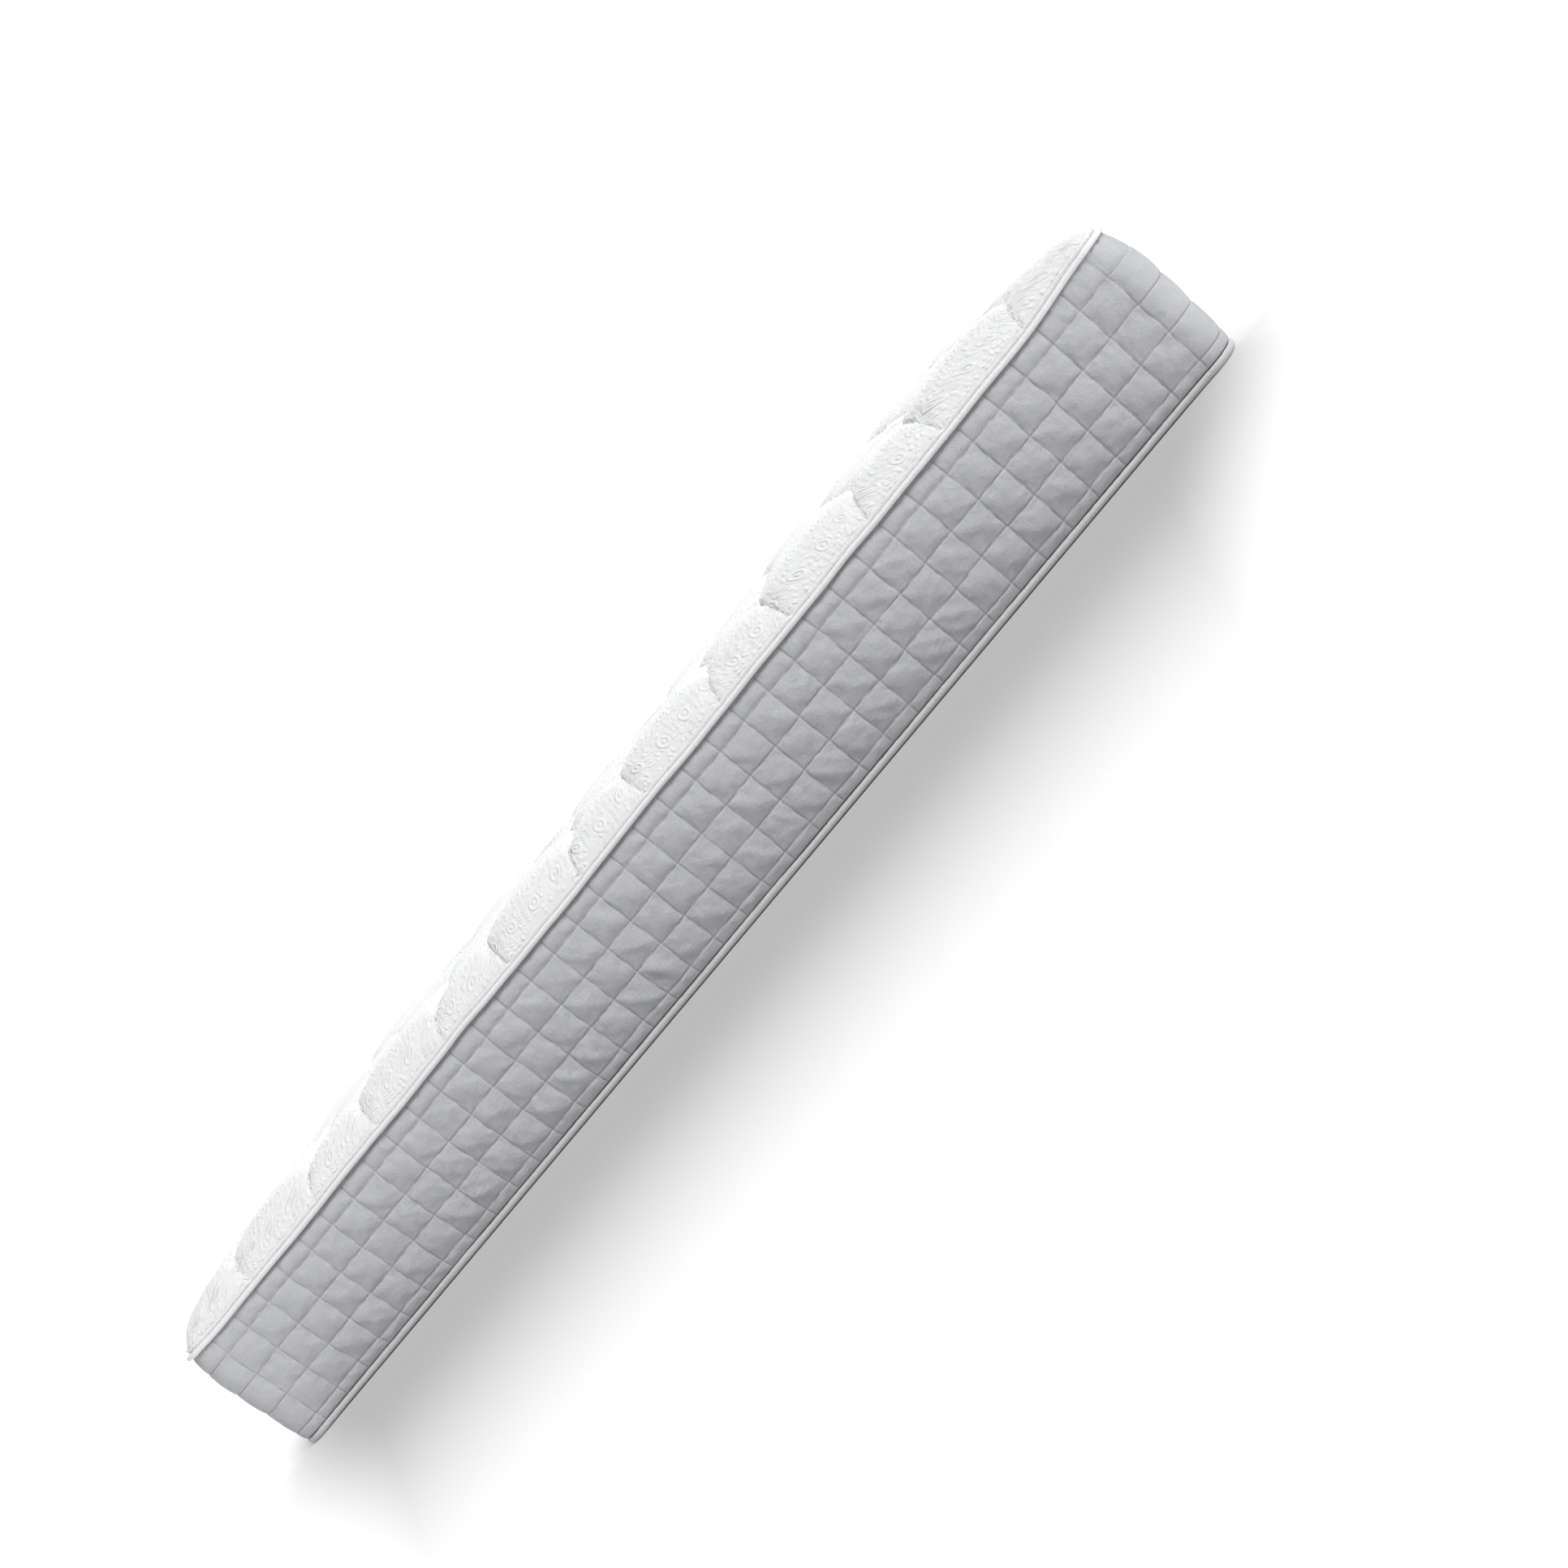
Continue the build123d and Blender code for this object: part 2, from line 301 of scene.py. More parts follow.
def run_length(points, axis):
    """Distance along the grid's lines in that direction, from their first point."""
    steps = np.linalg.norm(np.diff(points, axis=axis), axis=-1)
    zero = np.zeros_like(np.take(steps, [0], axis=axis))
    return np.concatenate([zero, np.cumsum(steps, axis=axis)], axis=axis)


def ring(name, distance, out, height):
    """A closed section swept round the outline, as a mesh. Each array is columns by rows."""
    distance = np.broadcast_to(distance, out.shape)
    points, _ = standing(distance, out, height)
    section = np.stack([out[0], height[0]], -1)
    girth = np.append(run_length(section, 0), np.linalg.norm(section[-1] - section[0]))
    girth[-1] += girth[-2]
    quads, i, j = grid_quads(*out.shape, True, True)
    along = np.append(distance[:, 0], distance[0, 0] + PERIMETER)
    weave = np.stack([along[i], girth[j]], -1)
    return add_mesh(name, points.reshape(-1, 3), quads, weave)


def loop_of(grid):
    """The points round the edge of a grid, in order."""
    return np.concatenate([grid[:-1, 0], grid[-1, :-1], grid[:0:-1, -1], grid[0, :0:-1]])


def slab(name, upper, lower, upper_skirt=(), lower_skirt=()):
    """A closed panel between two grids, with loops of points down its rim."""
    columns, rows = upper.shape[:2]
    count = columns * rows
    top, i, j = grid_quads(columns, rows)
    index = np.arange(count).reshape(columns, rows)
    rim = loop_of(index)
    skirts = len(upper_skirt) + len(lower_skirt)
    loops = [rim] + [2 * count + k * len(rim) + np.arange(len(rim)) for k in range(skirts)]
    loops.append(rim + count)
    faces = [top, top[:, ::-1] + count]
    for a, b in zip(loops, loops[1:]):
        faces.append(np.stack([a, b, np.roll(b, -1), np.roll(a, -1)], -1))
    quads = np.concatenate(faces)
    points = np.concatenate([upper.reshape(-1, 3), lower.reshape(-1, 3), *upper_skirt, *lower_skirt])
    along = run_length(upper, 0)
    across = run_length(upper, 1)
    place = np.stack([along - along[columns // 2], across - across[:, [rows // 2]]], -1).reshape(-1, 2)
    rim_place = loop_of(place.reshape(columns, rows, 2))
    place = np.concatenate([place, place] + [rim_place] * skirts)
    return add_mesh(name, points, quads, place[quads])


def surface_normals(grid):
    """Upward normals at a grid's points."""
    normal = np.cross(np.gradient(grid, axis=0), np.gradient(grid, axis=1))
    normal /= np.maximum(np.linalg.norm(normal, axis=-1, keepdims=True), 1e-12)
    return normal * np.where(normal[..., 2:].mean() < 0, -1, 1)


def settle(grid, held, outward, most, closed=False):
    """A grid of loose cloth once its fill has puffed it out, by up to about most, between
    the points where the stitches hold it. outward points away from the fill."""
    quads, _, _ = grid_quads(*held.shape, closed)
    points = grid.reshape(-1, 3)
    a, b, c = (points[quads[:, k]] for k in range(3))
    if (np.cross(b - a, c - a) * outward.reshape(-1, 3)[quads[:, 0]]).sum() < 0:
        quads = quads[:, ::-1]
    mesh = bpy.data.meshes.new("loose_cloth")
    mesh.from_pydata(points, [], quads)
    loose = add_object("loose_cloth", mesh)
    loose.vertex_groups.new(name="held").add(np.flatnonzero(held).tolist(), 1.0, "REPLACE")
    cloth = loose.modifiers.new("cloth", "CLOTH")
    cloth.settings.quality = 4
    cloth.settings.mass = 0.15
    cloth.settings.bending_stiffness = 0.15
    cloth.settings.vertex_group_mass = "held"
    cloth.settings.use_pressure = True
    cloth.settings.uniform_pressure_force = SETTLE_PRESSURE
    cloth.settings.shrink_min = -SPARE_CLOTH
    cloth.settings.effector_weights.gravity = 0
    cloth.collision_settings.use_collision = False
    cloth.point_cache.frame_end = SETTLE_FRAMES
    for step in range(1, SETTLE_FRAMES + 1):
        bpy.context.scene.frame_set(step)
    settled = loose.evaluated_get(bpy.context.evaluated_depsgraph_get()).to_mesh()
    place = np.empty(points.size)
    settled.vertices.foreach_get("co", place)
    bpy.data.objects.remove(loose)
    bpy.data.meshes.remove(mesh)
    bpy.context.scene.frame_set(1)
    moved = place.reshape(grid.shape) - grid
    far = np.maximum(np.linalg.norm(moved, axis=-1, keepdims=True), 1e-9)
    return grid + moved / far * most * np.tanh(far / most)


# ---- border ----


def border_rows():
    """Heights of the border's mesh rows, close together at the stitch lines, and each
    row's place between the lines above and below it."""
    edges = [BORDER_BOTTOM, *ROW_LINES, BORDER_TOP]
    heights, places = [], []
    for low, high in zip(edges, edges[1:]):
        t = CELL_STEPS if high - low > 0.9 * CELL else CELL_STEPS[::2]
        heights.append(low + (high - low) * t)
        places.append(t)
    return np.append(np.concatenate(heights), BORDER_TOP), np.append(np.concatenate(places), 1.0)


def border_columns():
    """Distances of the border's mesh columns, close together at the stitch lines."""
    return (QUILT_SHIFT + CELL * (np.arange(COLUMNS)[:, None] + 0.5 + CELL_STEPS)).ravel()


def cell_at(distance):
    """Which column of cells a distance lies in, and its place across that cell."""
    column = (distance - QUILT_SHIFT) / CELL - 0.5 + 1e-6
    return np.floor(column).astype(int) % COLUMNS, np.mod(column, 1)


def line_jog(cell, u, row, place):
    """How far a point moves up with the rows of stitches, which step a little at each column."""
    rng = np.random.default_rng(35)
    jog = rng.normal(0, LINE_JOG, (COLUMNS, len(ROW_LINES) + 2))
    jog[:, [0, -1]] = 0
    before = (0.5 - 0.5 * smooth(0, 0.05, u))[..., None]
    after = 0.5 * smooth(0.95, 1, u)[..., None]
    near = jog[cell] * (1 - before - after) + jog[cell - 1] * before + jog[(cell + 1) % COLUMNS] * after
    below = np.take_along_axis(near, row[..., None], -1)[..., 0]
    above = np.take_along_axis(near, row[..., None] + 1, -1)[..., 0]
    return below + (above - below) * place


def border_folds(cell, u, row, place):
    """Slack creases that run aslant across some cells, mostly down to the right."""
    rng = np.random.default_rng(36)
    shape = (COLUMNS, len(ROW_LINES) + 1, 3)
    slack = rng.uniform(0, 1, shape) ** 1.5 * np.array([0.3, 1.0, 0.6, 0.6, 0.1])[:, None]
    turn = np.radians(rng.uniform(25, 65, shape)) * np.where(rng.uniform(0, 1, shape) < 0.8, 1, -1)
    offset = rng.uniform(-0.35, 0.35, shape)
    width = rng.uniform(0.06, 0.13, shape)
    total = 0
    for k in range(3):
        at = (cell, row, k)
        across = (u - 0.5) * np.cos(turn[at]) + (place - 0.5) * np.sin(turn[at]) - offset[at]
        total = total + slack[at] * np.exp(-((across / width[at]) ** 2))
    return total


def border_face(distance, height, place, row):
    """How far out the quilted border stands. place is where height lies in its row of cells."""
    cell, u = cell_at(distance)
    rng = np.random.default_rng(31)
    fill = rng.uniform(0.8, 1.12, (COLUMNS, len(ROW_LINES) + 1))[cell, row]
    tall = np.array([0.5, 1, 1, 1, 0.6])[row]
    puffed = dome(u, 0.9) * dome(place, 0.9)
    crisp = quarter(np.minimum(u, 1 - u) / 0.05) * quarter(np.minimum(place, 1 - place) / 0.05)
    up = (height - BORDER_BOTTOM) / (BORDER_TOP - BORDER_BOTTOM)
    barrel = BORDER_BARREL * (1 - (2 * up - 1) ** 2)
    tuck = 3.0 * MM * np.exp(-(height - BORDER_BOTTOM) / (9 * MM))
    tuck = tuck + 6.5 * MM * np.exp(-(BORDER_TOP - height) / (12 * MM))
    uneven = 0.7 * MM * ripple(distance, height * 1.6, 130 * MM, 32)
    x, y = plan(distance)
    taut = 1 - 0.6 * corner_nearness(x, y, 90 * MM)
    slack = 1 - 0.75 * corner_nearness(x, y, 320 * MM)
    folds = BORDER_FOLD * slack * border_folds(cell, u, row, place)
    bulge = (BORDER_PUFF * tall * fill + folds) * puffed * taut
    upright = 1 - 0.7 * corner_nearness(x, y, 150 * MM)
    return (barrel - tuck) * upright + uneven + bulge - BORDER_GROOVE * (1 - crisp)


def border_panel():
    """Outer face of the quilted border, as distances, how far out it stands, and heights."""
    heights, places = border_rows()
    rows = np.searchsorted([BORDER_BOTTOM, *ROW_LINES], heights + 1e-9, side="right") - 1
    distance, height, place, row = np.broadcast_arrays(border_columns()[:, None], heights, places, rows)
    x, y = plan(distance)
    out = border_face(distance, height, place, row) + push(x, y, height)
    near_top = smooth(ROW_LINES[-1], BORDER_TOP, height)
    gather = corner_nearness(x, y, 110 * MM) * np.sin(2 * math.pi * distance / (9 * MM))
    out = out + 0.8 * MM * gather * np.exp(-(BORDER_TOP - height) / (10 * MM))
    inner_line = (heights > BORDER_BOTTOM + CELL / 6) & (heights < BORDER_TOP - CELL / 6)
    wander = 0.8 * MM * ripple(distance, height, 120 * MM, 33) * inner_line
    height = height + near_top * (lift(x, y) + 1.5 * MM) + line_jog(*cell_at(distance), row, place) + wander
    distance = distance + 0.9 * MM * ripple(distance, height, 70 * MM, 34)
    return distance, out, height


def settled_border(face):
    """The border's face after its cloth has settled, held along every stitch line."""
    distance, out, height = face
    points, outward = standing(*face)
    _, places = border_rows()
    held = np.zeros(out.shape, bool)
    held[:: len(CELL_STEPS)] = True
    held[:, places == 0] = True
    held[:, -1] = True
    moved = settle(points, held, outward, BORDER_SETTLE, closed=True) - points
    along = np.stack([-outward[..., 1], outward[..., 0]], -1)
    distance = distance + (moved[..., :2] * along).sum(-1)
    return distance, out + (moved[..., :2] * outward[..., :2]).sum(-1), height + moved[..., 2]


def lined(face, thickness):
    """A section loop up a face and down a coarser lining behind it."""
    steps = (0, thickness, 0)
    return [np.concatenate([a, a[:, ::-INNER_ROW_STEP] - step], 1) for a, step in zip(face, steps)]


# ---- top panel ----


def seam_spread(count, crowd=0.8):
    """Steps from 0 to 1 that crowd towards both ends."""
    t = np.linspace(0, 1, count + 1)
    return t + (0.5 - 0.5 * np.cos(math.pi * t) - t) * crowd


def end_spread(count):
    """Steps from 0 to 1 that crowd most towards 0, at the mattress's end."""
    even = 1 - np.cos(math.pi / 2 * np.linspace(0, 1, count + 1))
    return (even + seam_spread(count)) / 2


def plan_grid(inset):
    """A grid over the outline drawn in by inset: its columns follow the stitch lines."""
    half_x, half_y = HALF_LENGTH - inset, HALF_WIDTH - inset
    radius = CORNER_RADIUS - inset
    turn = np.linspace(0, math.pi / 2, CORNER_STEPS + 1)
    bend = radius * np.sin(turn)
    flat = np.linspace(-(half_y - radius), half_y - radius, WIDTH_STEPS + 1)
    y = np.concatenate([-(half_y - radius) - bend[:0:-1], flat, half_y - radius + bend[1:]])
    over = np.maximum(np.abs(y) - (half_y - radius), 0)
    end = half_x - radius + np.sqrt(np.maximum(radius**2 - over**2, 0))
    seams = [-end] + [seam_x(line, y) for line in range(WAVE_LINES)] + [end]
    last = len(seams) - 2
    columns, places = [], []
    for strip, (left, right) in enumerate(zip(seams, seams[1:])):
        t = seam_spread(STRIP_STEPS)
        if strip == 0:
            t = end_spread(END_STEPS)
        if strip == last:
            t = 1 - end_spread(END_STEPS)[::-1]
        if strip != last:
            t = t[:-1]
        columns.append(left + (right - left) * t[:, None])
        places.append(np.broadcast_to(t[:, None] + strip, (len(t), len(y))))
    x = np.concatenate(columns)
    return x, np.broadcast_to(y, x.shape), np.concatenate(places)


def top_surface():
    """Points of the quilted top, with its puffs between the wavy stitch lines."""
    x, y, place = plan_grid(PANEL_INSET)
    depth = np.maximum(inset_of(x, y) - PANEL_INSET, 0)
    end_depth = np.maximum(HALF_LENGTH - PANEL_INSET - np.abs(x), 0)
    gentle = 1 - 0.42 * (1 - smooth(0, 150 * MM, end_depth))
    strip = np.minimum(np.floor(place).astype(int), WAVE_LINES)
    t = place - strip
    end = np.full_like(y, HALF_LENGTH - 30 * MM)
    lines = np.stack([-end, *(seam_x(k, y) for k in range(WAVE_LINES)), end])
    left = np.take_along_axis(lines, strip[None], 0)[0]
    right = np.take_along_axis(lines, strip[None] + 1, 0)[0]
    width = right - left
    end_strip = (strip == 0) | (strip == WAVE_LINES)
    t = np.where(strip == 0, 0.5 + t / 2, np.where(strip == WAVE_LINES, t / 2, t))
    full = np.where(end_strip, 0.95, np.clip((width - 60 * MM) / (130 * MM), 0.3, 1.0))
    puff = (PUFF_TOP - SEAM_TOP) * full * gentle * dome(t, 0.5) * quarter(depth / (42 * MM))
    seam = SEAM_FOOT + (SEAM_TOP - SEAM_FOOT) * gentle * quarter(depth / (50 * MM))
    uneven = 1.0 * MM * ripple(x, y, 240 * MM, 21) * smooth(0, 60 * MM, depth)
    edge = np.exp(-depth / (28 * MM))
    pinch = 3.2 * MM * notch(x, y, 8 * MM) * edge
    height = seam + puff + uneven + lift(x, y) * edge - pinch + crown(x, y) * smooth(0, 60 * MM, depth)
    return np.stack([x, y, height], -1)


# ---- stitches ----


def sample(at, run, values):
    """Rows of values, read off at those distances along the run."""
    return np.stack([np.interp(at, run, column) for column in values.T], -1)


def add_stitches(name, lines):
    """One mesh of separate small stitches. Each line is its points and the way up there."""
    all_points, quads, tris = [], [], []
    count = 0
    for points, up in lines:
        run = run_length(points, 0)
        middle = np.arange(STITCH_PITCH / 2, run[-1], STITCH_PITCH)
        raised = sample(middle, run, up)
        raised /= np.linalg.norm(raised, axis=1, keepdims=True)
        part = STITCH_LENGTH / 4
        ahead = sample(middle + part, run, points) - sample(middle - part, run, points)
        ahead /= np.maximum(np.linalg.norm(ahead, axis=1, keepdims=True), 1e-12)
        aside = np.cross(raised, ahead)
        centre = sample(middle, run, points) + raised * THREAD_RADIUS * 0.6
        rings = [centre - ahead * STITCH_LENGTH / 2 - raised * THREAD_RADIUS * 1.6]
        for shift in (-0.22, 0.22):
            for turn in range(4):
                angle = math.pi / 2 * turn + math.pi / 4
                offset = aside * math.cos(angle) + raised * math.sin(angle)
                rings.append(centre + ahead * STITCH_LENGTH * shift + offset * THREAD_RADIUS)
        rings.append(centre + ahead * STITCH_LENGTH / 2 - raised * THREAD_RADIUS * 1.6)
        block = np.stack(rings, 1)
        base = count + np.arange(len(middle))[:, None] * 10
        for turn in range(4):
            after = (turn + 1) % 4
            tris.append(base + [0, 1 + after, 1 + turn])
            quads.append(base + [1 + turn, 1 + after, 5 + after, 5 + turn])
            tris.append(base + [9, 5 + turn, 5 + after])
        all_points.append(block.reshape(-1, 3))
        count += block.shape[0] * 10
    mesh = bpy.data.meshes.new(name)
    faces = np.concatenate(quads).tolist() + np.concatenate(tris).tolist()
    mesh.from_pydata(np.concatenate(all_points), [], faces)
    mesh.shade_smooth()
    return add_object(name, mesh)


# ---- building ----


def build_border():
    face = settled_border(border_panel())
    return ring("border_cover", *lined(face, BORDER_CLOTH)), face


def local_low(values, reach):
    """The least value within reach of each point of a grid whose first direction wraps."""
    for _ in range(reach):
        values = np.minimum(values, np.minimum(np.roll(values, 1, 0), np.roll(values, -1, 0)))
        wide = np.pad(values, ((0, 0), (1, 1)), mode="edge")
        values = np.minimum(values, np.minimum(wide[:, :-2], wide[:, 2:]))
    return values


def build_border_fill(face):
    inner = (face[0], local_low(face[1], INNER_ROW_STEP), face[2])
    distance, out, height = (a[::2, ::INNER_ROW_STEP] for a in inner)
    back = np.full((out.shape[0], 2), -BORDER_FILL_DEPTH)
    fill_out = np.concatenate([out - BORDER_CLOTH - FILL_GAP, back], 1)
    fill_height = np.concatenate([height, height[:, [-1, 0]]], 1)
    both = np.concatenate([distance, distance[:, [-1, 0]]], 1)
    return ring("border_fill", both, fill_out, fill_height)


def border_stitches(face):
    """Points along every stitch line of the border."""
    points, up = standing(*face)
    heights, _ = border_rows()
    lines = []
    for line in ROW_LINES:
        row = int(np.argmin(np.abs(heights - line)))
        closed = np.append(np.arange(len(points)), 0)
        lines.append((points[closed, row], up[closed, row]))
    for column in range(0, len(points), len(CELL_STEPS)):
        lines.append((points[column, :-2], up[column, :-2]))
    return lines


def seam_stitches(upper):
    """Points along every wavy stitch line of the top."""
    normal = surface_normals(upper)
    columns = [END_STEPS + STRIP_STEPS * line for line in range(WAVE_LINES)]
    return [(upper[column], normal[column]) for column in columns]


def tape_section(path, thickness):
    """A strip of cloth that follows path, as a closed loop of points."""
    path = np.array(path) * MM
    ahead = np.gradient(path, axis=0)
    ahead /= np.linalg.norm(ahead, axis=1, keepdims=True)
    aside = np.stack([ahead[:, 1], -ahead[:, 0]], -1) * thickness / 2
    return np.concatenate([path + aside, (path - aside)[::-1]])


def arc(centre, radius, start, stop, count):
    """Points round an arc, angles in degrees anticlockwise from straight out, in mm."""
    angle = np.radians(np.linspace(start, stop, count))
    return [(centre[0] + radius * math.cos(a), centre[1] + radius * math.sin(a)) for a in angle]


def edge_line(distance, out, height, index):
    """The closed line of one section point round the outline, and its outward direction."""
    points, away = standing(distance[:, 0], out[:, index], height[:, index])
    closed = np.append(np.arange(len(points)), 0)
    return [(points[closed], away[closed])]


def tape_stops():
    """Distances of a tape's mesh columns."""
    return np.arange(0, PERIMETER - TAPE_STEP / 2, PERIMETER / round(PERIMETER / TAPE_STEP))[:, None]


def build_top_tape():
    """Binding tape: a band up the panel's edge that turns down and round its cord."""
    roll = TOP_ROLL_HEIGHT / MM
    radius = (TOP_ROLL_RADIUS - TAPE_THICKNESS / 2) / MM
    band = TOP_BAND_OUT / MM
    path = [(band - 0.6, TOP_BAND_TOP / MM), (band, 223.4), (band + 0.25, 222.2), (band, 221)]
    path += [(band - 0.1, 219.6), (band - 0.6, 218.4), (band - 1.6, 217.4), (band - 1.2, 216.2)]
    path += arc((0, roll), radius, 150, -205, 16)
    section = tape_section(path, TAPE_THICKNESS)
    distance = tape_stops()
    x, y = plan(distance)
    out = np.broadcast_to(section[:, 0], (len(distance), len(section)))
    height = np.broadcast_to(section[:, 1], out.shape)
    on_band = smooth(216.5 * MM, TOP_BAND_TOP, height)
    along = 0 * distance
    pucker = ripple(distance, along, 7 * MM, 41) * (0.5 + 0.5 * ripple(distance, along, 60 * MM, 42))
    jag = ripple(distance, along, 11 * MM, 43)
    gap = notch(x, y, 5 * MM)
    height = height + lift(x, y) + on_band * (0.55 * MM * jag - 2.6 * MM * gap)
    out = out + on_band * (0.45 * MM * pucker - 1.2 * MM * gap)
    out = out + (1 - on_band) * 0.25 * MM * ripple(distance, along, 18 * MM, 44)
    stitched = 2 * len(path) - 1 - TOP_STITCH_POINT
    return ring("top_tape", distance, out, height), edge_line(distance, out, height, stitched)


def build_bottom_tape():
    """Binding tape rolled round the lower cord, with a band that laps under the base."""
    centre = (BOTTOM_ROLL_OUT / MM, BOTTOM_ROLL_HEIGHT / MM)
    radius = (BOTTOM_ROLL_RADIUS - TAPE_THICKNESS / 2) / MM
    path = [(centre[0] - back, LAP_HEIGHT) for back in (16.5, 13, 8, 4)]
    path += arc(centre, radius, -90, 178, 14)
    section = tape_section(path, TAPE_THICKNESS)
    distance = tape_stops()
    out = np.broadcast_to(section[:, 0], (len(distance), len(section)))
    height = np.broadcast_to(section[:, 1], out.shape)
    upper = smooth(2 * MM, 12 * MM, height)
    along = 0 * distance
    height = height + upper * 0.45 * MM * ripple(distance, along, 120 * MM, 51)
    height = height + upper * 0.2 * MM * ripple(distance, along, 14 * MM, 52)
    out = out + push(*plan(distance), height)
    out = out + upper * 0.5 * MM * ripple(distance, along, 90 * MM, 53)
    stitched = len(path) - 1 - BOTTOM_STITCH_POINT
    return ring("bottom_tape", distance, out, height), edge_line(distance, out, height, stitched)


def build_cord(name, roll_height, roll_out, radius, follows_tape):
    """The cord inside a tape roll."""
    distance = np.linspace(0, PERIMETER, CORD_COLUMNS, endpoint=False)[:, None]
    angle = np.linspace(0, 2 * math.pi, CORD_SIDES, endpoint=False)[None, :]
    x, y = plan(distance)
    rise = lift(x, y) if follows_tape else 0
    spread = 0 if follows_tape else push(x, y, roll_height)
    out = roll_out + spread + radius * np.cos(angle) + 0 * distance
    height = roll_height + rise + radius * np.sin(angle) + 0 * distance
    return ring(name, distance, out, height)


def settled_top(upper):
    """The top after its cloth has settled, held along the wavy stitch lines and the rim."""
    held = np.zeros(upper.shape[:2], bool)
    held[:2] = held[-2:] = True
    held[:, :2] = held[:, -2:] = True
    held[END_STEPS : len(held) - END_STEPS : STRIP_STEPS] = True
    moved = settle(upper, held, surface_normals(upper), TOP_SETTLE) - upper
    depth = inset_of(upper[..., 0], upper[..., 1]) - PANEL_INSET
    return upper + moved * smooth(2 * MM, 24 * MM, depth)[..., None]


def build_top_panel():
    upper = settled_top(top_surface())
    normal = surface_normals(upper)
    lower = upper - normal * PANEL_CLOTH
    skirt_outer = loop_of(upper) - [0, 0, PANEL_HEM]
    skirt_inner = loop_of(lower)
    skirt_inner[:, 2] = skirt_outer[:, 2]
    cover = slab("top_cover", upper, lower, [skirt_outer], [skirt_inner])
    return cover, upper, upper - normal * (PANEL_CLOTH + FILL_GAP)


def backing_height(x, y):
    """Height of the top of the backing under the fill."""
    _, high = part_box("top_panel_backing")
    depth = np.clip(inset_of(x, y) - (HALF_WIDTH - high.y), 0, BACKING_RADIUS)
    drop = np.sqrt(np.maximum(BACKING_RADIUS**2 - (BACKING_RADIUS - depth) ** 2, 0))
    return high.z - BACKING_RADIUS + drop


def build_top_fill(face):
    upper = face[::2, ::2]
    x, y = upper[..., 0], upper[..., 1]
    under_x = x * (HALF_LENGTH - TOP_FILL_INSET) / np.abs(x).max()
    under_y = y * (HALF_WIDTH - TOP_FILL_INSET) / np.abs(y).max()
    under = np.stack([under_x, under_y, backing_height(under_x, under_y) + 0.3 * MM], -1)
    return slab("top_fill", upper, under)


def build_base():
    """Underside cloth and fill: flat on the floor, drawn up a little along its stitching."""
    x, y, place = (values[::2, ::2] for values in plan_grid(BASE_INSET))
    depth = inset_of(x, y) - BASE_INSET
    t = place - np.floor(place)
    draw = 2.2 * MM * (1 - dome(t, 0.5)) * smooth(20 * MM, 40 * MM, depth)
    rim = 1.8 * MM * (1 - smooth(11 * MM, 16 * MM, depth))
    lower = np.stack([x, y, FLOOR_GAP + draw + rim], -1)
    upper = lower + [0, 0, BASE_CLOTH]
    top = np.stack([x, y, np.full_like(x, BASE_FILL_TOP)], -1)
    return slab("base_cover", upper, lower), slab("base_fill", top, upper + [0, 0, 0.1 * MM])


# ---- materials ----


